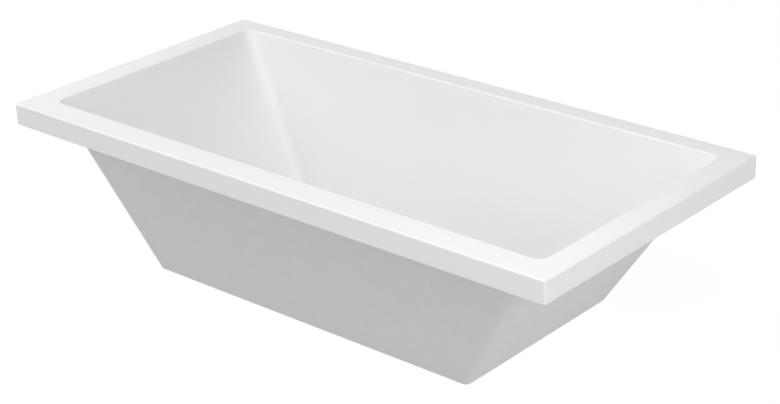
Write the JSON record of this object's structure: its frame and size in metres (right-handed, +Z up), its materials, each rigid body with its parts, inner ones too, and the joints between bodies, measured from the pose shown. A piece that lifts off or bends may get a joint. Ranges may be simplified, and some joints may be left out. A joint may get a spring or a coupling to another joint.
{
  "type": "bathtub",
  "caption": "Rectangular acrylic bathtub with a wide flat rim, leaning walls, laminate backing, press-to-open waste plug and wall overflow.",
  "frame": {"origin": "middle of the rim's rectangular outline, on the flat underside of the base", "axes": "+X along the bath towards its right end, -Y towards the front long side with the wide deck and the overflow, +Z up"},
  "size_m": [1.8, 0.9, 0.46],
  "materials": {
    "white_acrylic": "glossy",
    "grey_laminate": "matt, lightly speckled",
    "base_board": "raw",
    "batten_timber": "sawn",
    "chromed_brass": "polished",
    "black_rubber": "matt",
    "white_plastic": "moulded",
    "bare_brass": "machined",
    "spring_steel": "bright"
  },
  "bodies": {
    "tub": {"acrylic_shell": "white_acrylic", "laminate_shell": "grey_laminate", "base_board": "base_board", "base_skin": "grey_laminate", "recess_lining": "grey_laminate", "front_batten": "batten_timber", "back_batten": "batten_timber", "left_batten": "batten_timber", "right_batten": "batten_timber", "waste_body": "chromed_brass", "waste_top_seal": "black_rubber", "waste_under_seal": "black_rubber", "waste_washer": "white_plastic", "waste_nut": "white_plastic", "click_sleeve": "bare_brass", "click_spring": "spring_steel", "overflow_body": "white_plastic", "overflow_face_seal": "black_rubber", "overflow_back_seal": "black_rubber", "overflow_nut": "white_plastic", "overflow_cover": "chromed_brass", "overflow_screw": "spring_steel"},
    "plug": {"plug_cap": "chromed_brass", "plug_seal": "black_rubber", "plug_stem": "bare_brass"}
  },
  "joints": [
    {"name": "plug_slide", "type": "slide", "parent": "tub", "child": "plug", "axis": [0, 0, 1], "range_m": [0, 0.007], "deforming": ["click_spring"]}
  ]
}
